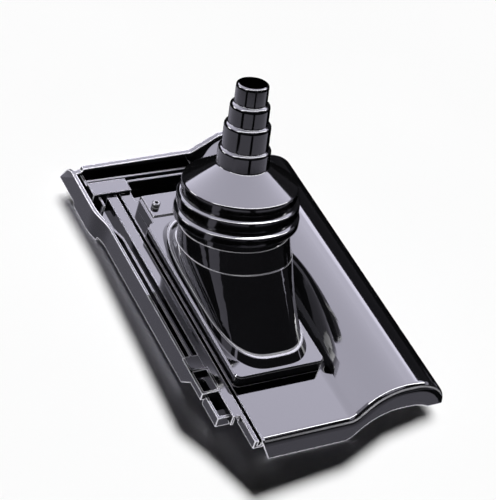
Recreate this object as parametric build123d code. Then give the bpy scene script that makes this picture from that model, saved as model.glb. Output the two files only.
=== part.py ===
from build123d import *
import os
from math import cos, radians, sin

# Tile: driving sizes in mm, lying flat, foot towards -Y, head towards +Y
TILE_LENGTH = 424.0
BODY_WIDTH = 260.0
WALL = 3.5
PAN_TOP = 30.3
CREST_TOP = 67.0
CUT_PAST = 1.0
FOOT_Y = -TILE_LENGTH / 2
HEAD_Y = FOOT_Y + TILE_LENGTH
LEFT_X = -BODY_WIDTH / 2
RIGHT_X = BODY_WIDTH / 2

# Roll: a hollow arc at its foot, a straight flank, a round crest and a round right side with an upright lip
ROLL_WIDTH = 117.0
FLANK_ANGLE = 52.0
FLANK_FOOT_R = 12.0
CREST_R = 55.0
LIP_R = 55.0
LIP_TURN = 58.7
LIP_EDGE_TALL = 11.6
LIP_BOTTOM = CREST_TOP - LIP_R * (1 - cos(radians(LIP_TURN))) - LIP_EDGE_TALL
FLANK_START = RIGHT_X - ROLL_WIDTH

# Foot: rounded nose and front skirt
NOSE_R = 9.0
NOSE_LENGTH = 24.0
SKIRT_SLANT = 14.0

# Side lock on the left: outer wall, thin rib, broad rib, narrow groove
LOCK_WALL = 3.0
LOCK_FLOOR = 18.5
OUTER_RIB_TOP = 33.0
THIN_RIB_IN = 11.2
THIN_RIB_WIDE = 2.4
THIN_RIB_TOP = 30.0
THIN_RIB_SLANT = 26.0
BROAD_RIB_IN = 19.5
BROAD_RIB_WIDE = 12.5
GROOVE_WIDE = 4.0
GROOVE_FLOOR = 20.5
THIN_RIB_X = LEFT_X + THIN_RIB_IN
BROAD_RIB_LEFT = LEFT_X + BROAD_RIB_IN
BROAD_RIB_RIGHT = BROAD_RIB_LEFT + BROAD_RIB_WIDE
PAN_LEFT = BROAD_RIB_RIGHT + GROOVE_WIDE

# Outer wall: it swings out towards the head and ends there in a slanted lug
HEAD_JOG = 7.0
RIM_WIDE = 4.5
SWING_BACK = 62.0
SWING_LONG = 38.0
LUG_LONG = 22.0
LUG_SLANT = 13.0
LUG_DROP = 5.0
WALL_BOTTOM = 5.0
NIB_LONG = 57.0
NIB_SLANT = 2.0
SWING_HEAD_Y = HEAD_Y - SWING_BACK
SWING_FOOT_Y = SWING_HEAD_Y - SWING_LONG
LUG_Y = HEAD_Y + LUG_LONG

# Lock's foot end: bridge, upper pocket, lower pocket
LOCK_SHORT = 126.0
RIB_SHORT = 40.0
BRIDGE_LONG = 19.0
POCKET_LONG = 31.0
POCKET_DROP = 2.0
POCKET_DEEP = 6.5
LOW_POCKET_LONG = 30.0
LOW_POCKET_IN = 6.0
LOW_POCKET_DROP = 7.0
LOW_POCKET_DEEP = 10.0
LOCK_FOOT_Y = FOOT_Y + LOCK_SHORT
RIB_END_Y = FOOT_Y + RIB_SHORT
POCKET_TOP = OUTER_RIB_TOP - POCKET_DROP
POCKET_HEAD_Y = LOCK_FOOT_Y - BRIDGE_LONG
POCKET_FOOT_Y = POCKET_HEAD_Y - POCKET_LONG

# Head: rear rib, rain grooves, platform and the well behind the hood
HEAD_RIB_THICK = 6.0
HEAD_RIB_TOP = 41.0
HEAD_RIB_RISE = 1.5
RIB_NOTCH = 12.0
RIB_KINK = 33.0
REAR_GROOVE_LONG = 10.0
REAR_GROOVE_FLOOR = 21.0
RIDGE_THICK = 2.5
FRONT_GROOVE_LONG = 6.0
FRONT_GROOVE_FLOOR = 24.0
PLATFORM_LONG = 20.0
PLATFORM_RISE = 4.3
WELL_FLOOR = 16.0
WELL_LONG = 35.0
WELL_CORNER_R = 7.0
ROLL_CUT_LONG = 50.0
ROLL_CUT_WIDE = 38.0
NIB_WIDE = 32.0
NIB_THICK = 10.0
PLATFORM_TOP = PAN_TOP + PLATFORM_RISE
RIDGE_Y = HEAD_Y - HEAD_RIB_THICK - REAR_GROOVE_LONG - RIDGE_THICK
PLATFORM_HEAD_Y = RIDGE_Y - FRONT_GROOVE_LONG
PLATFORM_FOOT_Y = PLATFORM_HEAD_Y - PLATFORM_LONG
WELL_HEAD_Y = PLATFORM_HEAD_Y - RIDGE_THICK
WELL_FOOT_Y = WELL_HEAD_Y - WELL_LONG

# Hood: cover plate and screw pad on the pan
HOOD_WALL = 3.0
HOOD_ASIDE = 2.9
COVER_LAP = 1.5
COVER_RISE = 15.3
COVER_CORNER_R = 8.0
COVER_EDGE = 1.6
FOOT_APRON = 75.5
PAD_IN = 9.0
PAD_LONG = 44.0
PAD_STEP = 7.0
PAD_RISE = 2.0
PAD_EDGE = 3.0
PAD_GAP = 4.0
HOOD_X = (PAN_LEFT + FLANK_START) / 2 + HOOD_ASIDE
COVER_HALF = (FLANK_START - PAN_LEFT) / 2 + COVER_LAP
COVER_TOP = PAN_TOP + COVER_RISE
COVER_FOOT_Y = FOOT_Y + FOOT_APRON
PAD_HEAD_Y = WELL_FOOT_Y - PAD_GAP
COVER_HEAD_Y = PAD_HEAD_Y - PAD_LONG
PAD_HALF = COVER_HALF - PAD_IN

# Sleeve: heights along the mast line, one on top of the other, and radii
NECK_R = 60.0
CUFF_CLEAR = 0.3
CUFF_BOTTOM = 83.5
LIP_TALL = 3.5
LIP_WALL = 3.7
LOW_BEAD_TALL = 14.0
LOW_BEAD_OUT = 4.8
NOTCH_OUT = 0.5
HIGH_BEAD_TALL = 19.0
HIGH_BEAD_OUT = 2.3
SKIRT_TALL = 9.5
CONE_TALL = 22.5
CONE_WALL = 2.2
CONE_EDGE = 1.6
NOZZLE_RADII = [28.6, 25.3, 21.6, 17.6]
NOZZLE_TALLS = [20.5, 28.0, 23.0, 22.0]
SLEEVE_WALL = 3.0
LIP_EDGE = 1.2
BEAD_STEPS = 6
SOCKET_R = NECK_R + CUFF_CLEAR
LIP_OUT_R = SOCKET_R + LIP_WALL
CONE_FOOT_R = SOCKET_R + CONE_WALL
CONE_FOOT = CUFF_BOTTOM + LIP_TALL + LOW_BEAD_TALL + HIGH_BEAD_TALL + SKIRT_TALL
CONE_TOP = CONE_FOOT + CONE_TALL

# Dome: raked along the mast line, with a seam below the neck
MAST_LEAN = 15.6
MAST_SET = 15.25
MAST_LIFT = 8.3
DOME_IN = 1.5
DOME_FLARE = 11.0
FLARE_TALL = 7.0
FLARE_STEP = 1.5
SEAM_DOWN = 22.0
SEAM_BELLY = 11.0
SEAM_BACK = 4.0
SEAM_STEP = 0.8
NECK_SHOW = 7.5
NECK_SUNK = 6.0
NECK_SHORT = 10.0
MAST_Y = (COVER_FOOT_Y + COVER_HEAD_Y) / 2 + MAST_SET
MAST_Z = PAN_TOP + MAST_LIFT
MAST_DIR = (0, sin(radians(MAST_LEAN)), cos(radians(MAST_LEAN)))
NECK_FOOT = CUFF_BOTTOM - NECK_SHOW
NECK_TOP = CONE_FOOT - NECK_SHORT
SEAM_LEVEL = NECK_FOOT - SEAM_DOWN

# Tile opening under the hood
OPENING_IN = 13.0
OPENING_SHORT = 16.0
UPSTAND = 9.0
OPENING_HALF = COVER_HALF - OPENING_IN

# Screws on the pad
SCREW_IN = 12.5
SCREW_BACK = 22.0
SCREW_HEAD_R = 4.8
SCREW_HEAD_TALL = 6.0
SCREW_EDGE = 1.0
SOCKET_DEEP = 3.0
SCREW_SOCKET_R = 2.3
SHANK_R = 2.0
SHANK_LENGTH = 14.0
POST_WALL = 3.5
SCREW_X = PAD_HALF - SCREW_IN
SCREW_Y = PAD_HEAD_Y - SCREW_BACK

LOW = (Align.CENTER, Align.CENTER, Align.MIN)


def mast_plane(level):
    """Plane square to the mast line, its local Y towards the head."""
    foot = Vector(HOOD_X, MAST_Y, MAST_Z)
    return Plane(origin=foot + Vector(*MAST_DIR) * level, x_dir=(1, 0, 0), z_dir=MAST_DIR)


def block(x0, x1, y0, y1, z0, z1):
    """Box between two corners."""
    return Pos((x0 + x1) / 2, (y0 + y1) / 2, (z0 + z1) / 2) * Box(x1 - x0, y1 - y0, z1 - z0)


def cup(x0, x1, y0, y1, z0, z1):
    """Box that is hollow and open below."""
    wall = LOCK_WALL
    inside = block(x0 + wall, x1 - wall, y0 + wall, y1 - wall, z0 - CUT_PAST, z1 - wall)
    return block(x0, x1, y0, y1, z0, z1) - inside


def tray(x0, x1, y0, y1, floor, top):
    """Inside and outside of a sunken trough."""
    wall = LOCK_WALL
    inside = block(x0, x1, y0, y1, floor, top + CREST_TOP)
    outside = block(x0 - wall, x1 + wall, y0 - wall, y1 + wall, floor - wall, top)
    return inside, outside


def along(face, y0, y1):
    """A face drawn across the tile (x, height), drawn out from y0 to y1."""
    return extrude(Plane.XZ.offset(-y0) * face, y1 - y0, dir=(0, 1, 0))


def arc(cx, cz, radius, start, end):
    """Arc about a centre between two angles in degrees."""
    return CenterArc((cx, cz), radius, start, end - start)


def crest_start():
    """Where the straight flank and the round crest end on top of the roll."""
    turn = radians(FLANK_ANGLE)
    rise = CREST_TOP - PAN_TOP
    flank = (rise - (FLANK_FOOT_R + CREST_R) * (1 - cos(turn))) / sin(turn)
    return FLANK_START + (FLANK_FOOT_R + CREST_R) * sin(turn) + flank * cos(turn)


def roof_line(drop):
    """Edges of the tile's cross-section from pan to lip, lowered square to the surface by drop."""
    pan_z = PAN_TOP - drop
    foot_arc = arc(FLANK_START, PAN_TOP + FLANK_FOOT_R, FLANK_FOOT_R + drop, -90, FLANK_ANGLE - 90)
    crest_arc = arc(crest_start(), CREST_TOP - CREST_R, CREST_R - drop, 90 + FLANK_ANGLE, 90)
    lip_x = RIGHT_X - LIP_R * sin(radians(LIP_TURN))
    lip_arc = arc(lip_x, CREST_TOP - LIP_R, LIP_R - drop, 90, 90 - LIP_TURN)
    return [
        Line((PAN_LEFT, pan_z), (FLANK_START, pan_z)),
        foot_arc,
        Line(foot_arc @ 1, crest_arc @ 0),
        crest_arc,
        Line(crest_arc @ 1, lip_arc @ 0),
        lip_arc,
    ]


def under(drop):
    """Region below the lowered roof line, down to a level floor well below the tile."""
    floor = -2 * CREST_TOP
    line = roof_line(drop)
    start = line[0] @ 0
    end = line[-1] @ 1
    sides = Polyline(end, (end.X, floor), (start.X, floor), start)
    return make_face(line + [sides])


def below(x0, x1, y0, y1, z1):
    """Everything below a level, for cutting off what hangs lower."""
    return block(x0, x1 + CUT_PAST, y0 - CUT_PAST, y1 + CUT_PAST, -3 * CREST_TOP, z1)


def slab():
    """Pan and roll as a sheet of even wall."""
    start = FOOT_Y + NOSE_LENGTH
    sheet = along(under(0) - under(WALL), start, HEAD_Y)
    sheet -= below(PAN_LEFT - CUT_PAST, RIGHT_X, start, HEAD_Y, PAN_TOP - WALL)
    return sheet - below(crest_start(), RIGHT_X, start, HEAD_Y, LIP_BOTTOM)


def foot():
    """Rounded nose with the front skirt that follows the roll."""
    end = FOOT_Y + NOSE_LENGTH
    nose = along(under(0), FOOT_Y, end)
    front = nose.faces().sort_by(Axis.Y)[0]
    nose = fillet([e for e in front.edges() if e.bounding_box().min.Z > 0], NOSE_R)
    nose -= along(under(WALL), FOOT_Y + WALL, end)
    nose -= along(Pos(0, -PAN_TOP) * under(0), FOOT_Y - CUT_PAST, end + CUT_PAST)
    nose -= below(crest_start(), RIGHT_X, FOOT_Y, end, LIP_BOTTOM)
    nose -= below(PAN_LEFT - CUT_PAST, RIGHT_X, FOOT_Y, end, 0)
    slant = Polyline((PAN_LEFT, PAN_TOP - WALL), (PAN_LEFT + SKIRT_SLANT, 0), (PAN_LEFT, 0), close=True)
    return nose - along(make_face(slant), FOOT_Y - CUT_PAST, end + CUT_PAST)


def channel(points):
    """Cross-section of thin walls along level and upright runs between points."""
    face = None
    for a, b in zip(points, points[1:]):
        size = (abs(b[0] - a[0]) + LOCK_WALL, abs(b[1] - a[1]) + LOCK_WALL)
        run = Pos((a[0] + b[0]) / 2, (a[1] + b[1]) / 2) * Rectangle(*size)
        face = run if face is None else face + run
    return face


def left_path(rim, body, y_foot, y_head):
    """Left edge from above, head to foot: how far in it lies at the rim and along the body."""
    out = LEFT_X - HEAD_JOG + rim
    x = LEFT_X + body
    swing = Spline((out, SWING_HEAD_Y), (x, SWING_FOOT_Y), tangents=((0, -1), (0, -1)))
    return [Line((out, y_head), (out, SWING_HEAD_Y)), swing, Line((x, SWING_FOOT_Y), (x, y_foot))]


def outer_wall():
    """Upright wall on the left edge, with a nib below and a slanted lug at the head."""
    ends = [
        Line((LEFT_X, POCKET_FOOT_Y), (LEFT_X + LOCK_WALL, POCKET_FOOT_Y)),
        Line((LEFT_X - HEAD_JOG, LUG_Y), (LEFT_X - HEAD_JOG + RIM_WIDE, LUG_Y)),
    ]
    outside = left_path(0, 0, POCKET_FOOT_Y, LUG_Y)
    inside = left_path(RIM_WIDE, LOCK_WALL, POCKET_FOOT_Y, LUG_Y)
    plan = extrude(make_face(outside + inside + ends), CREST_TOP)
    nib_foot = SWING_FOOT_Y + SWING_LONG / 2
    nib_head = nib_foot + NIB_LONG
    step = POCKET_TOP - POCKET_DEEP - LOCK_WALL
    side = Polyline(
        (POCKET_FOOT_Y, step),
        (POCKET_FOOT_Y, POCKET_TOP),
        (LOCK_FOOT_Y, POCKET_TOP),
        (LOCK_FOOT_Y, OUTER_RIB_TOP),
        (HEAD_Y, OUTER_RIB_TOP),
        (LUG_Y - LUG_SLANT, OUTER_RIB_TOP - LUG_DROP),
        (LUG_Y, WALL_BOTTOM),
        (nib_head + NIB_SLANT, WALL_BOTTOM),
        (nib_head, 0),
        (nib_foot, 0),
        (nib_foot - NIB_SLANT, WALL_BOTTOM),
        (LOCK_FOOT_Y - BRIDGE_LONG / 2, WALL_BOTTOM),
        (POCKET_HEAD_Y - BRIDGE_LONG / 3, step),
        close=True,
    )
    profile = extrude(Plane.YZ.offset(LEFT_X - HEAD_JOG - CUT_PAST) * make_face(side), BROAD_RIB_IN)
    return plan & profile


def thin_rib():
    """Thin rib in the lock, which leaves the outer wall on a slant."""
    half = THIN_RIB_WIDE / 2
    start = SWING_FOOT_Y + SWING_LONG / 3
    bend = start - THIN_RIB_SLANT
    wall = LEFT_X + LOCK_WALL
    line = Polyline(
        (wall - half, start),
        (THIN_RIB_X - half, bend),
        (THIN_RIB_X - half, LOCK_FOOT_Y),
        (THIN_RIB_X + half, LOCK_FOOT_Y),
        (THIN_RIB_X + half, bend),
        (wall + half, start),
        close=True,
    )
    rib = Pos(0, 0, LOCK_FLOOR) * extrude(make_face(line), THIN_RIB_TOP - LOCK_FLOOR)
    stub_foot = SWING_HEAD_Y + LOCK_WALL
    return rib + block(THIN_RIB_X - half, THIN_RIB_X + half, stub_foot, PLATFORM_FOOT_Y + CUT_PAST,
                       LOCK_FLOOR, THIN_RIB_TOP)


def side_lock():
    """Floor, ribs and groove that take the next tile on the left."""
    half = LOCK_WALL / 2
    top = PAN_TOP - half
    left, right, pan = BROAD_RIB_LEFT + half, BROAD_RIB_RIGHT - half, PAN_LEFT + half
    inner = BROAD_RIB_LEFT + LOCK_WALL
    rest = Polyline((LEFT_X, LOCK_FOOT_Y), (inner, LOCK_FOOT_Y), (inner, HEAD_Y), (LEFT_X - HEAD_JOG, HEAD_Y))
    floor = extrude(make_face(left_path(0, 0, LOCK_FOOT_Y, HEAD_Y) + [rest]), LOCK_WALL)
    lock = Pos(0, 0, LOCK_FLOOR - half) * floor
    groove = [(right, top), (right, GROOVE_FLOOR), (pan, GROOVE_FLOOR), (pan, top)]
    broad = channel([(left, LOCK_FLOOR), (left, top)] + groove)
    narrow = channel([(right - half, GROOVE_FLOOR), (right - half, top)] + groove)
    lock += along(broad, RIB_END_Y, PLATFORM_FOOT_Y - LOCK_WALL)
    lock += along(channel(groove), PLATFORM_FOOT_Y - LOCK_WALL, PLATFORM_FOOT_Y + LOCK_WALL)
    return lock + along(narrow, FOOT_Y + WALL, RIB_END_Y) + thin_rib()


def lock_foot():
    """Bridge and two pockets where the channels end near the foot."""
    inner = BROAD_RIB_LEFT + LOCK_WALL
    wall = LOCK_WALL
    floor = POCKET_TOP - POCKET_DEEP
    bridge = cup(LEFT_X, inner, POCKET_HEAD_Y, LOCK_FOOT_Y + wall, LOCK_FLOOR - wall, THIN_RIB_TOP)
    upper = block(LEFT_X, inner, POCKET_FOOT_Y, POCKET_HEAD_Y + wall, floor - wall, POCKET_TOP)
    upper -= block(LEFT_X + wall, inner - wall, POCKET_FOOT_Y + wall, POCKET_HEAD_Y, floor, CREST_TOP)
    x0 = LEFT_X + LOW_POCKET_IN
    y0 = POCKET_FOOT_Y - LOW_POCKET_LONG
    top = POCKET_TOP - LOW_POCKET_DROP
    low = top - LOW_POCKET_DEEP
    lower = block(x0, inner, y0, POCKET_FOOT_Y + wall, low - wall, top)
    lower -= block(x0 + wall, inner - wall, y0 + wall, POCKET_FOOT_Y, low, CREST_TOP)
    return bridge + upper + lower


def head():
    """Rear rib, and the left platform with its deck."""
    crest_x = crest_start()
    left = LEFT_X - HEAD_JOG
    cut_x = RIGHT_X - ROLL_CUT_WIDE
    low = LOCK_FLOOR - LOCK_WALL / 2
    outline = Polyline(
        (left, low),
        (left, OUTER_RIB_TOP),
        (left + RIB_NOTCH - HEAD_RIB_RISE, OUTER_RIB_TOP + HEAD_RIB_RISE),
        (left + RIB_NOTCH, HEAD_RIB_TOP - HEAD_RIB_RISE),
        (FLANK_START + HEAD_RIB_RISE, HEAD_RIB_TOP + HEAD_RIB_RISE),
        (FLANK_START + RIB_KINK, CREST_TOP - 2 * HEAD_RIB_RISE),
        (crest_x, CREST_TOP + HEAD_RIB_RISE / 2),
        (cut_x, CREST_TOP + HEAD_RIB_RISE / 2),
        (cut_x, low),
        close=True,
    )
    rib = along(make_face(outline), HEAD_Y - HEAD_RIB_THICK, HEAD_Y)
    rib -= along(under(WALL / 2), HEAD_Y - HEAD_RIB_THICK - CUT_PAST, HEAD_Y + CUT_PAST)
    deck = cup(LEFT_X + LOCK_WALL, PAN_LEFT + LOCK_WALL, PLATFORM_FOOT_Y, HEAD_Y, low, PAN_TOP)
    step = block(LEFT_X + LOCK_WALL, HOOD_X - OPENING_HALF, PLATFORM_FOOT_Y, PLATFORM_HEAD_Y,
                 PAN_TOP - WALL, PLATFORM_TOP)
    return rib + deck + step


def troughs():
    """Well behind the hood's pad and the two rain grooves in front of the rear rib."""
    top = PAN_TOP - CUT_PAST
    x0 = LEFT_X + 2 * LOCK_WALL
    rear = tray(x0, FLANK_START, RIDGE_Y + RIDGE_THICK, HEAD_Y - HEAD_RIB_THICK, REAR_GROOVE_FLOOR, top)
    front = tray(x0, FLANK_START, PLATFORM_HEAD_Y, RIDGE_Y, FRONT_GROOVE_FLOOR, top)
    well = tray(HOOD_X - OPENING_HALF, FLANK_START, WELL_FOOT_Y, WELL_HEAD_Y, WELL_FLOOR, top)
    hollow = fillet(well[0].edges().filter_by(Axis.Z), WELL_CORNER_R)
    return [rear[0], front[0], hollow], [rear[1], front[1], well[1]]


def nibs():
    """Two batten nibs below the head."""
    solid = None
    for x in (HOOD_X - NIB_WIDE, HOOD_X + NIB_WIDE):
        nib = block(x - NIB_WIDE / 2, x + NIB_WIDE / 2, PLATFORM_HEAD_Y, PLATFORM_HEAD_Y + NIB_THICK,
                    0, REAR_GROOVE_FLOOR - CUT_PAST)
        solid = nib if solid is None else solid + nib
    return solid


def opening(grow):
    """Long round-ended outline of the opening under the hood."""
    foot_y = COVER_FOOT_Y + OPENING_SHORT
    head_y = COVER_HEAD_Y - OPENING_SHORT
    outline = SlotOverall(head_y - foot_y + 2 * grow, 2 * (OPENING_HALF + grow), rotation=90)
    return Pos(HOOD_X, (foot_y + head_y) / 2) * outline


def base_tile():
    """The whole moulded tile."""
    tile = slab() + foot() + side_lock() + outer_wall() + lock_foot() + head()
    cut_x = RIGHT_X - ROLL_CUT_WIDE
    tile -= block(cut_x, RIGHT_X + CUT_PAST, HEAD_Y - ROLL_CUT_LONG, HEAD_Y + CUT_PAST, 0, 2 * CREST_TOP)
    hollows, shells = troughs()
    for shell in shells:
        tile += shell
    for hollow in hollows:
        tile -= hollow
    tile += nibs()
    collar = extrude(opening(WALL), PAN_TOP + UPSTAND)
    collar -= below(LEFT_X, RIGHT_X, FOOT_Y, HEAD_Y, PAN_TOP - CUT_PAST)
    tile += collar
    post = Cylinder(SHANK_R + POST_WALL, COVER_RISE - HOOD_WALL + CUT_PAST, align=LOW)
    for side in (-1, 1):
        spot = Pos(HOOD_X + side * SCREW_X, SCREW_Y, PAN_TOP - CUT_PAST)
        tile += spot * post
        tile -= spot * Cylinder(SHANK_R, 2 * CREST_TOP)
    return tile - extrude(opening(0), 2 * CREST_TOP)


def ring(plane, half, foot_y, head_y, power, grow):
    """Smooth oval on a plane, from round (power 2) towards square-shouldered (power 4)."""
    count = 20
    middle = (foot_y + head_y) / 2
    points = []
    for i in range(count):
        c, s = cos(radians(360 * i / count)), sin(radians(360 * i / count))
        x = (half + grow) * abs(c) ** (2 / power) * (1 if c > 0 else -1)
        y = ((head_y - foot_y) / 2 + grow) * abs(s) ** (2 / power) * (1 if s > 0 else -1)
        points.append((x, middle + y))
    return plane * make_face(Spline(*points, periodic=True))


def dome_ring(rise, inset, power, grow):
    """Oval of the dome's foot at a height above the cover plate, inset most at the foot."""
    flat = Plane(origin=(HOOD_X, 0, COVER_TOP + rise), x_dir=(1, 0, 0), z_dir=(0, 0, 1))
    half = COVER_HALF - DOME_IN - inset / 6
    return ring(flat, half, COVER_FOOT_Y + DOME_IN + inset, COVER_HEAD_Y + DOME_IN - inset / 2, power, grow)


def seam_ring(level, grow):
    """Oval at the seam, with a belly towards the foot."""
    return ring(mast_plane(level), NECK_R, -NECK_R - SEAM_BELLY, NECK_R + SEAM_BACK, 2.2, grow)


def dome(grow):
    """Raked dome as a solid, from the cover plate up to the neck, grown or shrunk evenly."""
    base = dome_ring(-HOOD_WALL, 0, 3.6, grow)
    flare = dome_ring(FLARE_TALL, DOME_FLARE, 3.2, grow)
    ledge = dome_ring(FLARE_TALL - FLARE_STEP, DOME_FLARE, 3.2, grow - FLARE_STEP)
    seam_low = seam_ring(SEAM_LEVEL, grow + SEAM_STEP)
    seam_high = seam_ring(SEAM_LEVEL - SEAM_STEP, grow)
    neck = ring(mast_plane(NECK_FOOT), NECK_R, -NECK_R, NECK_R, 2, grow + SEAM_STEP)
    solid = loft([base, flare], ruled=True)
    solid += loft([ledge, seam_low], ruled=True)
    solid += loft([seam_high, neck], ruled=True)
    low = NECK_FOOT - NECK_SUNK
    tube = Cylinder(NECK_R + grow, NECK_TOP - low, align=LOW)
    return solid + mast_plane(low) * tube


def cover(shrink):
    """Cover plate and pad as a solid block, shrunk evenly for the hollow."""
    low = PAN_TOP - UPSTAND / 2
    tall = COVER_TOP - shrink - low
    middle = (COVER_HEAD_Y + COVER_FOOT_Y) / 2
    length = COVER_HEAD_Y - COVER_FOOT_Y - 2 * shrink
    plate = RectangleRounded(2 * (COVER_HALF - shrink), length, COVER_CORNER_R - shrink)
    solid = Pos(HOOD_X, middle, low) * extrude(plate, tall)
    solid = chamfer(solid.edges().group_by(Axis.Z)[-1], COVER_EDGE)
    pad = RectangleRounded(2 * (PAD_HALF - shrink), 2 * (PAD_LONG - shrink), COVER_CORNER_R - shrink)
    pad = Pos(HOOD_X, COVER_HEAD_Y, low) * extrude(pad, tall)
    return solid + chamfer(pad.edges().group_by(Axis.Z)[-1], COVER_EDGE)


def hood():
    """Cover, pad, dome and neck as one hollow moulding."""
    edge = PAD_HALF - PAD_EDGE
    rise = block(HOOD_X - edge, HOOD_X + edge, COVER_HEAD_Y + PAD_STEP, PAD_HEAD_Y - PAD_EDGE,
                 COVER_TOP - CUT_PAST, COVER_TOP + PAD_RISE)
    shell = cover(0) + chamfer(rise.edges().group_by(Axis.Z)[-1], COVER_EDGE / 2)
    shell += dome(0)
    shell -= cover(HOOD_WALL)
    shell -= dome(-HOOD_WALL)
    for side in (-1, 1):
        shell -= Pos(HOOD_X + side * SCREW_X, SCREW_Y, COVER_TOP) * Cylinder(SHANK_R, CREST_TOP)
    shell -= mast_plane(NECK_FOOT) * Cylinder(NECK_R - HOOD_WALL, NECK_TOP, align=LOW)
    return shell - along(under(0), FOOT_Y, HEAD_Y)


def bead(low_r, low, high_r, high, out_r):
    """Points of a rounded bead between two rims, without the first rim."""
    points = []
    for i in range(1, BEAD_STEPS + 1):
        share = i / BEAD_STEPS
        swell = sin(radians(180 * share)) * (out_r - (low_r + high_r) / 2)
        points.append((low_r + (high_r - low_r) * share + swell, low + (high - low) * share))
    return points


def sleeve_outline():
    """Outer half outline of the sleeve: x is the radius, y the distance along the mast line."""
    lip_top = CUFF_BOTTOM + LIP_TALL
    notch = lip_top + LOW_BEAD_TALL
    skirt = notch + HIGH_BEAD_TALL
    notch_r = LIP_OUT_R + NOTCH_OUT
    first = NOZZLE_RADII[0]
    lean = CONE_EDGE / CONE_TALL
    points = [(0, CUFF_BOTTOM), (LIP_OUT_R, CUFF_BOTTOM), (LIP_OUT_R, lip_top)]
    points += bead(LIP_OUT_R, lip_top, notch_r, notch, LIP_OUT_R + LOW_BEAD_OUT)
    points += bead(notch_r, notch, CONE_FOOT_R, skirt, LIP_OUT_R + HIGH_BEAD_OUT)
    points.append((CONE_FOOT_R, CONE_FOOT - CONE_EDGE))
    points.append((CONE_FOOT_R - (CONE_FOOT_R - first) * lean, CONE_FOOT + CONE_TALL * lean))
    points.append((first, CONE_TOP))
    level = CONE_TOP
    inner_radii = NOZZLE_RADII[1:] + [NOZZLE_RADII[-1] - LIP_EDGE]
    for wide, tall, after in zip(NOZZLE_RADII, NOZZLE_TALLS, inner_radii):
        level += tall
        step = wide - after
        points.append((wide, level - step))
        points.append((wide - step * 0.3, level - step * 0.3))
        points.append((after, level))
    points.append((0, level))
    return make_face(Polyline(*points, close=True))


def sleeve_hollow():
    """Half outline of the passage: neck socket, cone and stepped bores."""
    points = [(0, CUFF_BOTTOM - CUT_PAST), (SOCKET_R, CUFF_BOTTOM - CUT_PAST), (SOCKET_R, CONE_FOOT - SLEEVE_WALL)]
    level = CONE_TOP - SLEEVE_WALL / 2
    top = CONE_TOP
    for wide, tall in zip(NOZZLE_RADII, NOZZLE_TALLS):
        bore = wide - SLEEVE_WALL
        top += tall
        points.append((bore, level))
        points.append((bore, top - SLEEVE_WALL))
        level = top
    points[-1] = (NOZZLE_RADII[-1] - SLEEVE_WALL, top + CUT_PAST)
    points.append((0, top + CUT_PAST))
    return make_face(Polyline(*points, close=True))


def antenna_sleeve():
    """Soft sleeve with beads, cone and stepped nozzles, hollow throughout."""
    body = revolve(Plane.XZ * sleeve_outline(), Axis.Z)
    body -= revolve(Plane.XZ * sleeve_hollow(), Axis.Z)
    return mast_plane(0) * body


def hood_screw(side):
    """Screw with a round head, a socket in it and a plain shank."""
    top = Cylinder(SCREW_HEAD_R, SCREW_HEAD_TALL, align=LOW)
    top = chamfer(top.edges().group_by(Axis.Z)[-1], SCREW_EDGE)
    top -= Pos(0, 0, SCREW_HEAD_TALL - SOCKET_DEEP) * Cylinder(SCREW_SOCKET_R, SCREW_HEAD_TALL, align=LOW)
    shank = Pos(0, 0, -SHANK_LENGTH) * Cylinder(SHANK_R, SHANK_LENGTH, align=LOW)
    return Pos(HOOD_X + side * SCREW_X, SCREW_Y, COVER_TOP + PAD_RISE) * (top + shank)


nodes = {
    "base_tile": base_tile(),
    "hood": hood(),
    "antenna_sleeve": antenna_sleeve(),
    "hood_screw_left": hood_screw(-1),
    "hood_screw_right": hood_screw(1),
}

# The origin is moved to the middle of the whole tile's outline
middle = Pos(HEAD_JOG / 2, -(FOOT_Y + LUG_Y) / 2, 0)
os.makedirs("parts", exist_ok=True)
for name, shape in nodes.items():
    export_step(middle * shape, f"parts/{name}.step")
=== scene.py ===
import math

import bpy
from mathutils import Matrix, Vector


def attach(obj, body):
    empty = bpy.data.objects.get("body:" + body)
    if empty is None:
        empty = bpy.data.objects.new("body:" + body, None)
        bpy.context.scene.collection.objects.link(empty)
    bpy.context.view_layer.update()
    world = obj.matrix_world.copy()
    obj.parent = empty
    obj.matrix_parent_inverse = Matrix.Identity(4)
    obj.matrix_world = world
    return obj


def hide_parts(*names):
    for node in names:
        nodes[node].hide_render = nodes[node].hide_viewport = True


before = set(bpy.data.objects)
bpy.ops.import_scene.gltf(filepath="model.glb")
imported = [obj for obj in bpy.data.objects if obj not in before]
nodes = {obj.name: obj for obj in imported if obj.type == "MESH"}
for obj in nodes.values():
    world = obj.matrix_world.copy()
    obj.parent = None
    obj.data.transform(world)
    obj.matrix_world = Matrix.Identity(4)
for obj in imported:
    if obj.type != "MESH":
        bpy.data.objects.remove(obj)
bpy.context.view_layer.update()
scene = bpy.context.scene

# Camera at the photograph's place: metres in the tile's frame, lens and sensor in mm
CAMERA_PLACE = Vector((-0.9688, -1.1702, 1.4168))
CAMERA_TARGET = Vector((0.0111, 0.0271, 0.0450))
CAMERA_ROLL = math.radians(18.94)
CAMERA_LENS = 132.0
CAMERA_SENSOR = 36.0
CAMERA_NEAR = 0.05
CAMERA_FAR = 50.0

# Mast line: its foot in metres and its lean towards the head
MAST_FOOT = Vector((-0.0341, -0.0130, 0.0386))
MAST_LEAN = math.radians(15.6)

# Colours and levels of the panels, cloths and sky
LILAC = (0.95, 0.925, 1.11)
RIM_WHITE = (1.0, 1.0, 1.03)
PANEL_LIGHT = 7.6
BORDER_LIGHT = 10.5
RIM_LIGHT = 45.0
SIDE_LIGHT = 3.0
DOME_LIGHT = 0.05
CLOTH_LIGHT = 0.55
CURTAIN_LIGHT = 1.0
SKY_LIGHT = 0.004

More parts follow.
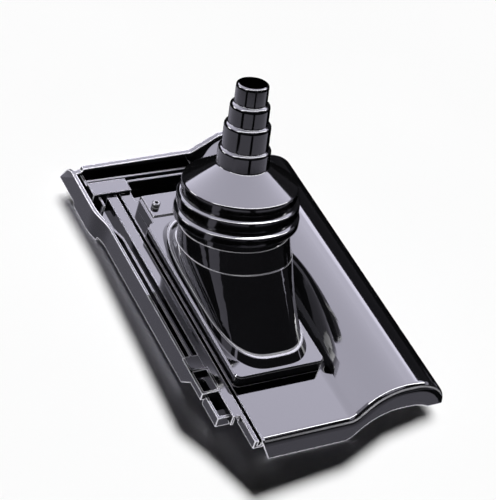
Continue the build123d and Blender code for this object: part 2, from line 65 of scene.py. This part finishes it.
# Key and fill lights: strength, spread and direction
KEY_STRENGTH = 4.9
KEY_SPREAD = math.radians(18.0)
KEY_SLANT = (0.6, 0.9)
FILL_STRENGTH = 3.6
FILL_SPREAD = math.radians(40.0)
FILL_AIM = Vector((0.6, 0.75, -0.25))

# Flag that shades the floor: height and the shadow's outline in metres
FLAG_HIGH = 0.035
SHADOW = (
    (-0.147, 0.195), (-0.146, 0.088), (-0.158, -0.168),
    (-0.141, -0.203), (-0.118, -0.270), (-0.002, -0.258),
    (0.064, -0.232), (0.136, -0.219), (0.136, 0.19),
)

# Panels on spheres round the tile: turns and rises in degrees, radii in metres
PANEL_R = 4.0
BORDER_R = 3.9
RIM_LEFT_R = 3.8
RIM_FRONT_R = 3.7
DOME_R = 5.0
RIGHT_TURN = (26, 62)
RIGHT_RISE = (32.5, 66)
BORDER_TURN = (26, 50)
BORDER_RISE = (32.5, 38)
LEFT_TURN = (62, 153)
LEFT_RISE = (14, 66)
RIM_LEFT_TURN = (132, 152)
RIM_LEFT_RISE = (4, 11)
WEST_TURN = (157, 190)
WEST_RISE = (20, 60)
EAST_TURN = (-20, 14)
EAST_RISE = (18, 26)
HIGH_TURN = (-170, -30)
HIGH_RISE = (56, 80)
DOME_TURN = (-180, 180)
DOME_RISE = (0.5, 89.9)
PATCH_STEPS = 24

# Strips that arch over the tile: slices across Y as shares of the radius, turns in degrees
TOP_SLICE = (0.04, 0.42)
RIM_SLICE = (-0.08, 0.03)
STRIP_TURN = (30, 150)
STRIP_STEPS = 40

# Floor and the pale cloths beside the tile: metres
FLOOR_HALF = 8.0
FLOOR_SHADE = (0.90, 0.93)
FLOOR_ROUGH = 0.9
FLOOR_CLOUD = 3.0
FLOOR_DETAIL = 2.0
CLOTH_LEVEL = 0.001
CLOTH_LEFT = ((-0.165, -0.50), (-0.05, 0.40))
CLOTH_FRONT = ((-0.05, -0.50), (0.16, -0.15))

# Pale board left of the tile that the hood's side mirrors
BOARD = (
    (-0.236, -0.061, 0.127), (-0.198, -0.117, 0.175),
    (-0.237, -0.093, 0.033), (-0.219, -0.051, 0.002),
)

# Cloths that the nozzles mirror: turns in degrees from the side that faces the camera
NOZZLE_FACING = math.radians(-129.0)
CURTAIN_TURNS = ((-70.0, -13.0), (-6.0, 19.5), (25.0, 68.0))
CURTAIN_STEPS = 12

# Painted highlight along the outer edges of the moulded pieces: width in metres, colour, and where it
# starts and is full
EDGE_WIDTH = 0.0018
EDGE_HIGHLIGHT_COLOUR = (0.72, 0.71, 0.76)
EDGE_SAMPLES = 16
EDGE_START = 0.92
EDGE_FULL = 0.62

# Cloudiness, gloss and grain that all finishes share: scales per metre, depth in metres
CLOUD_SCALE = 14.0
CLOUD_DETAIL = 3.0
GLOSS_SCALE = 60.0
GLOSS_DETAIL = 4.0
GRAIN_DETAIL = 2.0
GRAIN_DEEP = 0.0004
FINISH_IOR = 1.52

# Finishes: darkest and lightest colour, roughness range, grain scale, its lift and the strength of the
# painted highlight on the edges
TILE_PLASTIC = {
    "dark": (0.0020, 0.0020, 0.0024),
    "light": (0.0040, 0.0040, 0.0046),
    "smooth": 0.04,
    "rough": 0.07,
    "grain": 900.0,
    "lift": 0.02,
    "edge": 1.0,
}
HOOD_PLASTIC = {
    "dark": (0.0015, 0.0015, 0.0018),
    "light": (0.0032, 0.0032, 0.0036),
    "smooth": 0.03,
    "rough": 0.06,
    "grain": 900.0,
    "lift": 0.015,
    "edge": 0.4,
}
SLEEVE_RUBBER = {
    "dark": (0.0025, 0.0025, 0.0028),
    "light": (0.0050, 0.0050, 0.0055),
    "smooth": 0.05,
    "rough": 0.09,
    "grain": 1200.0,
    "lift": 0.03,
    "edge": 0.0,
}
SCREW_METAL = {
    "dark": (0.010, 0.010, 0.011),
    "light": (0.018, 0.018, 0.018),
    "smooth": 0.18,
    "rough": 0.30,
    "grain": 1500.0,
    "lift": 0.05,
    "edge": 0.2,
}

# Sleeve sizes in mm: levels along the mast line and radii
MM_PER_M = 1000
SOCKET_R = 60.3
CUFF_BOTTOM = 83.5
LIP_R = 64.0
LIP_TOP = 87.0
LOW_BEAD_TOP = 98.5
LOW_BEAD_OUT = 4.8
NOTCH_R = 63.6
HIGH_BEAD_BOTTOM = 102.5
HIGH_BEAD_TOP = 115.5
HIGH_BEAD_OUT = 3.4
SHOULDER_SHARE = 0.8
SHOULDER_PITCH = math.tan(math.radians(36.0))
GROOVE_R = 62.4
SKIRT_BOTTOM = 120.5
CONE_FOOT = 129.5
CONE_FOOT_R = 63.4
CONE_TOP = 152.0
NOZZLE_RADII = (28.6, 25.3, 21.6, 17.6)
NOZZLE_TOPS = (172.5, 200.5, 223.5, 245.5)
SLEEVE_WALL = 3.0
LATHE_STEPS = 144
SLEEVE_SHARP = math.radians(50)

# Rounded corners of the sleeve in mm, and the shares of a nozzle's step that slope and are rounded
CORNER_STEPS = 6
CUFF_CORNER = 0.8
BEAD_CORNERS = (1.2, 1.4, 0.8)
SKIRT_CORNER = 0.7
CONE_FOOT_CORNER = 1.6
CONE_TOP_CORNER = 1.2
STEP_CORNER = 0.8
STEP_SLOPE = 0.35
STEP_ROUND = 0.8

# Points that keep the straight walls flat between their corners: shares of the cone, mm on the nozzles
CONE_GUARDS = (0.06, 0.94)
NOZZLE_GUARD_LOW = 1.8
NOZZLE_GUARD_HIGH = 0.6

# Rounded edges of the tile and the hood: metres
WELD_GAP = 0.00002
BEVEL_WIDTH = 0.0008
BEVEL_SEGMENTS = 2
BEVEL_ANGLE = math.radians(40)


def camera():
    """Camera looking down at the tile from the foot's left."""
    data = bpy.data.cameras.new("camera")
    data.sensor_width = CAMERA_SENSOR
    data.lens = CAMERA_LENS
    data.clip_start = CAMERA_NEAR
    data.clip_end = CAMERA_FAR
    obj = bpy.data.objects.new("camera", data)
    scene.collection.objects.link(obj)
    aim = (CAMERA_TARGET - CAMERA_PLACE).to_track_quat("-Z", "Y").to_matrix().to_4x4()
    obj.matrix_world = Matrix.Translation(CAMERA_PLACE) @ aim @ Matrix.Rotation(CAMERA_ROLL, 4, "Z")
    scene.camera = obj


def node_tree(name):
    """New material with its tree and principled shader."""
    material = bpy.data.materials.new(name)
    material.use_nodes = True
    tree = material.node_tree
    return material, tree, tree.nodes["Principled BSDF"]


def ramp(tree, source, low, high):
    """Noise value spread between two numbers."""
    node = tree.nodes.new("ShaderNodeMapRange")
    node.inputs["To Min"].default_value = low
    node.inputs["To Max"].default_value = high
    tree.links.new(source, node.inputs["Value"])
    return node.outputs["Result"]


def noise(tree, scale, detail):
    """Solid noise in the object's own metres."""
    where = tree.nodes.new("ShaderNodeTexCoord")
    node = tree.nodes.new("ShaderNodeTexNoise")
    node.inputs["Scale"].default_value = scale
    node.inputs["Detail"].default_value = detail
    tree.links.new(where.outputs["Object"], node.inputs["Vector"])
    return node.outputs["Fac"]


def paint_edge_highlight(tree, colour, edge):
    """Colour lightened along the outer edges by a painted highlight."""
    near = tree.nodes.new("ShaderNodeAmbientOcclusion")
    near.inside = True
    near.only_local = True
    near.samples = EDGE_SAMPLES
    near.inputs["Distance"].default_value = EDGE_WIDTH
    highlight_mix = tree.nodes.new("ShaderNodeMix")
    highlight_mix.data_type = "RGBA"
    highlight_mix.inputs["B"].default_value = (*EDGE_HIGHLIGHT_COLOUR, 1)
    fade = tree.nodes.new("ShaderNodeMapRange")
    fade.inputs["From Min"].default_value = EDGE_START
    fade.inputs["From Max"].default_value = EDGE_FULL
    fade.inputs["To Max"].default_value = edge
    tree.links.new(near.outputs["AO"], fade.inputs["Value"])
    tree.links.new(fade.outputs["Result"], highlight_mix.inputs["Factor"])
    tree.links.new(colour, highlight_mix.inputs["A"])
    return highlight_mix.outputs["Result"]


def moulded(name, dark, light, smooth, rough, grain, lift, edge):
    """Moulded black finish: faint cloudiness of colour and gloss, a fine skin texture and a painted
    highlight along the edges.
    """
    material, tree, shader = node_tree(name)
    tint = tree.nodes.new("ShaderNodeMix")
    tint.data_type = "RGBA"
    tint.inputs["A"].default_value = (*dark, 1)
    tint.inputs["B"].default_value = (*light, 1)
    tree.links.new(noise(tree, CLOUD_SCALE, CLOUD_DETAIL), tint.inputs["Factor"])
    # Edges lightened in the base colour: a painted highlight
    tree.links.new(paint_edge_highlight(tree, tint.outputs["Result"], edge), shader.inputs["Base Color"])
    gloss = ramp(tree, noise(tree, GLOSS_SCALE, GLOSS_DETAIL), smooth, rough)
    tree.links.new(gloss, shader.inputs["Roughness"])
    shader.inputs["IOR"].default_value = FINISH_IOR
    bump = tree.nodes.new("ShaderNodeBump")
    bump.inputs["Strength"].default_value = lift
    bump.inputs["Distance"].default_value = GRAIN_DEEP
    tree.links.new(noise(tree, grain, GRAIN_DETAIL), bump.inputs["Height"])
    tree.links.new(bump.outputs["Normal"], shader.inputs["Normal"])
    return material


def glow(name, colour, strength):
    """Even light of a panel or cloth."""
    material, _, shader = node_tree(name)
    shader.inputs["Base Color"].default_value = (0, 0, 0, 1)
    shader.inputs["Specular IOR Level"].default_value = 0.0
    shader.inputs["Emission Color"].default_value = (*colour, 1)
    shader.inputs["Emission Strength"].default_value = strength
    return material


def stage_mesh(name, points, faces, material):
    """Piece of the stage from points and faces."""
    mesh = bpy.data.meshes.new(name)
    mesh.from_pydata(points, [], faces)
    obj = bpy.data.objects.new(name, mesh)
    obj.data.materials.append(material)
    scene.collection.objects.link(obj)
    return obj


def gloss_only(obj):
    """The piece is seen only in what the tile's gloss reflects."""
    obj.visible_camera = False
    obj.visible_diffuse = False
    obj.visible_transmission = False
    obj.visible_volume_scatter = False
    obj.visible_shadow = False


def between(span, share):
    """Number at a share of the way along a span."""
    return span[0] + (span[1] - span[0]) * share


def direction(azimuth, elevation):
    """Unit vector; azimuth turns from +X to +Y."""
    a = math.radians(azimuth)
    e = math.radians(elevation)
    return Vector((math.cos(a) * math.cos(e), math.sin(a) * math.cos(e), math.sin(e)))


def ladder(steps):
    """Faces of a band whose points come in pairs."""
    return [(2 * i, 2 * i + 1, 2 * i + 3, 2 * i + 2) for i in range(steps)]


def sky_patch(name, turn, rise, radius, material):
    """Curved panel on a sphere round the tile."""
    row = PATCH_STEPS + 1
    points = []
    faces = []
    for i in range(row):
        for j in range(row):
            spot = direction(between(turn, i / PATCH_STEPS), between(rise, j / PATCH_STEPS))
            points.append(spot * radius)
    for i in range(PATCH_STEPS):
        for j in range(PATCH_STEPS):
            k = i * row + j
            faces.append((k, k + 1, k + row + 1, k + row))
    gloss_only(stage_mesh(name, points, faces, material))


def sky_strip(name, slices, turn, radius, material):
    """Curved strip over the tile from right to left, between two slices across Y."""
    points = []
    for i in range(STRIP_STEPS + 1):
        t = math.radians(between(turn, i / STRIP_STEPS))
        for y in slices:
            wide = math.sqrt(1 - y * y)
            points.append(Vector((wide * math.cos(t), y, wide * math.sin(t))) * radius)
    gloss_only(stage_mesh(name, points, ladder(STRIP_STEPS), material))


def flat(name, low, high, level, material):
    """Level rectangle of the stage."""
    corners = [
        (low[0], low[1], level),
        (high[0], low[1], level),
        (high[0], high[1], level),
        (low[0], high[1], level),
    ]
    return stage_mesh(name, corners, [(0, 1, 2, 3)], material)


def floor():
    """Wide white floor, with pale cloths left of and before the tile that only its gloss sees."""
    material, tree, shader = node_tree("pale_floor")
    shade = ramp(tree, noise(tree, FLOOR_CLOUD, FLOOR_DETAIL), *FLOOR_SHADE)
    join = tree.nodes.new("ShaderNodeCombineColor")
    for side in ("Red", "Green", "Blue"):
        tree.links.new(shade, join.inputs[side])
    tree.links.new(join.outputs["Color"], shader.inputs["Base Color"])
    shader.inputs["Roughness"].default_value = FLOOR_ROUGH
    shader.inputs["Specular IOR Level"].default_value = 0.0
    ground = flat("floor", (-FLOOR_HALF, -FLOOR_HALF), (FLOOR_HALF, FLOOR_HALF), 0.0, material)
    ground.visible_glossy = False
    pale = glow("pale_cloth", LILAC, CLOTH_LIGHT)
    gloss_only(flat("cloth_left", *CLOTH_LEFT, CLOTH_LEVEL, pale))
    gloss_only(flat("cloth_front", *CLOTH_FRONT, CLOTH_LEVEL, pale))


def panels():
    """Large lilac panels behind and over the tile, a bright rim where they end, and fainter ones around."""
    soft = glow("panel_light", LILAC, PANEL_LIGHT)
    border = glow("border_light", LILAC, BORDER_LIGHT)
    bright = glow("rim_light", RIM_WHITE, RIM_LIGHT)
    side = glow("side_light", LILAC, SIDE_LIGHT)
    faint = glow("dome_light", LILAC, DOME_LIGHT)
    sky_patch("panel_right", RIGHT_TURN, RIGHT_RISE, PANEL_R, soft)
    sky_patch("border_right", BORDER_TURN, BORDER_RISE, BORDER_R, border)
    sky_patch("panel_left", LEFT_TURN, LEFT_RISE, PANEL_R, soft)
    sky_strip("panel_top", TOP_SLICE, STRIP_TURN, PANEL_R, soft)
    sky_patch("rim_left", RIM_LEFT_TURN, RIM_LEFT_RISE, RIM_LEFT_R, bright)
    sky_strip("rim_front", RIM_SLICE, STRIP_TURN, RIM_FRONT_R, bright)
    sky_patch("panel_west", WEST_TURN, WEST_RISE, PANEL_R, side)
    sky_patch("panel_east", EAST_TURN, EAST_RISE, PANEL_R, side)
    sky_patch("panel_high", HIGH_TURN, HIGH_RISE, PANEL_R, side)
    sky_patch("dome", DOME_TURN, DOME_RISE, DOME_R, faint)


def mirrored(side, level):
    """Point just over the floor that a nozzle, at a turn and a level, mirrors to the camera."""
    lean = Matrix.Rotation(-MAST_LEAN, 3, "X")
    normal = lean @ Vector((math.cos(side), math.sin(side), 0))
    middle = MAST_FOOT + lean @ Vector((0, 0, level / MM_PER_M))
    spot = middle + normal * NOZZLE_RADII[1] / MM_PER_M
    look = (CAMERA_PLACE - spot).normalized()
    ray = 2 * normal.dot(look) * normal - look
    return spot - ray * (spot.z - CLOTH_LEVEL) / ray.z


def curtains():
    """Pale board and cloths that the hood's side and the nozzles mirror, with two dark gaps."""
    material = glow("curtain_light", LILAC, CURTAIN_LIGHT)
    gloss_only(stage_mesh("board", BOARD, [(0, 1, 2, 3)], material))
    for turn in CURTAIN_TURNS:
        points = []
        for i in range(CURTAIN_STEPS + 1):
            side = NOZZLE_FACING + math.radians(between(turn, i / CURTAIN_STEPS))
            points.append(mirrored(side, CONE_TOP))
            points.append(mirrored(side, NOZZLE_TOPS[-1]))
        gloss_only(stage_mesh("curtain", points, ladder(CURTAIN_STEPS), material))


def sun(name, aim, spread, strength):
    """Distant lamp that shines along a direction and isn't mirrored."""
    data = bpy.data.lights.new(name, "SUN")
    data.angle = spread
    data.energy = strength
    obj = bpy.data.objects.new(name, data)
    obj.rotation_euler = aim.to_track_quat("-Z", "Y").to_euler()
    obj.visible_glossy = False
    scene.collection.objects.link(obj)
    return obj


def shadow_flag():
    """Unseen sheet that casts the shadow's outline on the floor."""
    points = []
    for x, y in SHADOW:
        points.append((x + FLAG_HIGH * KEY_SLANT[0], y + FLAG_HIGH * KEY_SLANT[1], FLAG_HIGH))
    flag = stage_mesh("flag", points, [tuple(range(len(points)))], glow("flag", LILAC, 0.0))
    gloss_only(flag)
    flag.visible_glossy = False
    flag.visible_shadow = True
    return flag


def lamps():
    """Key light from the back right that only the flag shades, a fill on the tile alone and a faint sky."""
    key = sun("key", Vector((-KEY_SLANT[0], -KEY_SLANT[1], -1.0)), KEY_SPREAD, KEY_STRENGTH)
    casters = bpy.data.collections.new("shadow_casters")
    casters.objects.link(shadow_flag())
    key.light_linking.blocker_collection = casters
    fill = sun("fill", FILL_AIM, FILL_SPREAD, FILL_STRENGTH)
    lit = bpy.data.collections.new("lit_by_fill")
    for obj in nodes.values():
        lit.objects.link(obj)
    fill.light_linking.receiver_collection = lit
    world = bpy.data.worlds.new("studio")
    world.use_nodes = True
    back = world.node_tree.nodes["Background"]
    back.inputs["Color"].default_value = (1, 1, 1, 1)
    back.inputs["Strength"].default_value = SKY_LIGHT
    world.cycles_visibility.glossy = False
    scene.world = world


def corner(before, at, after, radius):
    """Points of a rounded corner of the outline."""
    p = Vector(at)
    a = p + (Vector(before) - p).normalized() * radius
    b = p + (Vector(after) - p).normalized() * radius
    points = []
    for i in range(CORNER_STEPS + 1):
        t = i / CORNER_STEPS
        q = a * (1 - t) ** 2 + p * 2 * t * (1 - t) + b * t ** 2
        points.append((q.x, q.y))
    return points


def bead(low_r, low, high_r, high, out):
    """Points of a bead: upright side, broad sloping shoulder and rounded corners."""
    side = low_r + out
    slope = out * SHOULDER_SHARE
    rise = slope * SHOULDER_PITCH
    spots = [(low_r, low), (side, low), (side, high - rise), (side - slope, high), (high_r, high)]
    points = []
    for i, radius in enumerate(BEAD_CORNERS):
        points += corner(spots[i], spots[i + 1], spots[i + 2], min(radius, rise / 2))
    points.append(spots[-1])
    return points


def cuff_outline():
    """Outside of the sleeve from its lower lip over both beads to the skirt."""
    out = corner((SOCKET_R, CUFF_BOTTOM), (LIP_R, CUFF_BOTTOM), (LIP_R, LIP_TOP), CUFF_CORNER)
    out.append((LIP_R, LIP_TOP))
    out += bead(LIP_R, LIP_TOP, NOTCH_R, LOW_BEAD_TOP, LOW_BEAD_OUT)
    out.append((NOTCH_R, HIGH_BEAD_BOTTOM))
    out += bead(NOTCH_R, HIGH_BEAD_BOTTOM, GROOVE_R, HIGH_BEAD_TOP, HIGH_BEAD_OUT)
    out.append((GROOVE_R, SKIRT_BOTTOM))
    skirt = (CONE_FOOT_R, SKIRT_BOTTOM)
    return out + corner((GROOVE_R, SKIRT_BOTTOM), skirt, (CONE_FOOT_R, CONE_FOOT), SKIRT_CORNER)


def cone_outline():
    """Outside of the sleeve from the skirt up the cone to the lowest nozzle."""
    first = NOZZLE_RADII[0]
    foot = Vector((CONE_FOOT_R, CONE_FOOT))
    slope = Vector((first, CONE_TOP)) - foot
    out = corner((CONE_FOOT_R, SKIRT_BOTTOM), foot, (first, CONE_TOP), CONE_FOOT_CORNER)
    for share in CONE_GUARDS:
        out.append(tuple(foot + slope * share))
    return out + corner(foot, (first, CONE_TOP), (first, NOZZLE_TOPS[0]), CONE_TOP_CORNER)


def nozzle_outline():
    """Outside of the four nozzles, each with a sloping step to the next and the last one to its bore."""
    out = []
    start = CONE_TOP
    last = len(NOZZLE_RADII) - 1
    for i, (wide, top) in enumerate(zip(NOZZLE_RADII, NOZZLE_TOPS)):
        after = NOZZLE_RADII[i + 1] if i < last else wide - SLEEVE_WALL
        step = wide - after
        rest = top - step * STEP_SLOPE
        out.append((wide, start + NOZZLE_GUARD_LOW))
        out.append((wide, rest - step * STEP_ROUND - NOZZLE_GUARD_HIGH))
        out += corner((wide, start), (wide, rest), (after, top), step * STEP_ROUND)
        start = top
        if i < last:
            out += corner((wide, rest), (after, top), (after, NOZZLE_TOPS[i + 1]), STEP_CORNER)
    return out


def bore_outline():
    """Inside of the sleeve from the cuff up to the top nozzle."""
    inside = [(SOCKET_R, CUFF_BOTTOM), (SOCKET_R, CONE_FOOT - SLEEVE_WALL)]
    level = CONE_TOP - SLEEVE_WALL / 2
    for wide, top in zip(NOZZLE_RADII, NOZZLE_TOPS):
        bore = wide - SLEEVE_WALL
        inside.append((bore, level))
        inside.append((bore, top - SLEEVE_WALL))
        level = top
    inside.pop()
    return inside


def sleeve(material):
    """Soft sleeve turned about the mast line, with its outline going up outside and down inside."""
    outline = cuff_outline() + cone_outline() + nozzle_outline() + bore_outline()[::-1]
    turn = Matrix.Translation(MAST_FOOT) @ Matrix.Rotation(-MAST_LEAN, 4, "X")
    points = []
    faces = []
    count = len(outline)
    for i in range(LATHE_STEPS):
        a = 2 * math.pi * i / LATHE_STEPS
        for radius, level in outline:
            spot = Vector((radius * math.cos(a), radius * math.sin(a), level)) / MM_PER_M
            points.append(turn @ spot)
    for i in range(LATHE_STEPS):
        for j in range(count):
            a = i * count
            b = ((i + 1) % LATHE_STEPS) * count
            k = (j + 1) % count
            faces.append((a + j, b + j, b + k, a + k))
    mesh = bpy.data.meshes.new("sleeve_skin")
    mesh.from_pydata(points, [], faces)
    mesh.polygons.foreach_set("use_smooth", [True] * len(faces))
    mesh.set_sharp_from_angle(angle=SLEEVE_SHARP)
    obj = bpy.data.objects.new("sleeve_skin", mesh)
    scene.collection.objects.link(obj)
    mesh.materials.append(material)
    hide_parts("antenna_sleeve")
    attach(obj, "root")


def soften(name):
    """Moulded edges of a node rounded a little."""
    obj = nodes[name]
    weld = obj.modifiers.new("weld", "WELD")
    weld.merge_threshold = WELD_GAP
    bevel = obj.modifiers.new("bevel", "BEVEL")
    bevel.width = BEVEL_WIDTH
    bevel.segments = BEVEL_SEGMENTS
    bevel.limit_method = "ANGLE"
    bevel.angle_limit = BEVEL_ANGLE
    bevel.use_clamp_overlap = True
    bevel.harden_normals = False
    even = obj.modifiers.new("even", "WEIGHTED_NORMAL")
    even.keep_sharp = True


def finishes():
    """Material of every node; gives the sleeve's rubber back."""
    rubber = moulded("sleeve_rubber", **SLEEVE_RUBBER)
    screw = moulded("screw_metal", **SCREW_METAL)
    by_node = {
        "base_tile": moulded("tile_plastic", **TILE_PLASTIC),
        "hood": moulded("hood_plastic", **HOOD_PLASTIC),
        "antenna_sleeve": rubber,
        "hood_screw_left": screw,
        "hood_screw_right": screw,
    }
    for name, material in by_node.items():
        nodes[name].data.materials.clear()
        nodes[name].data.materials.append(material)
    return rubber


camera()
floor()
panels()
curtains()
lamps()
sleeve(finishes())
soften("base_tile")
soften("hood")
scene.view_settings.view_transform = "Standard"
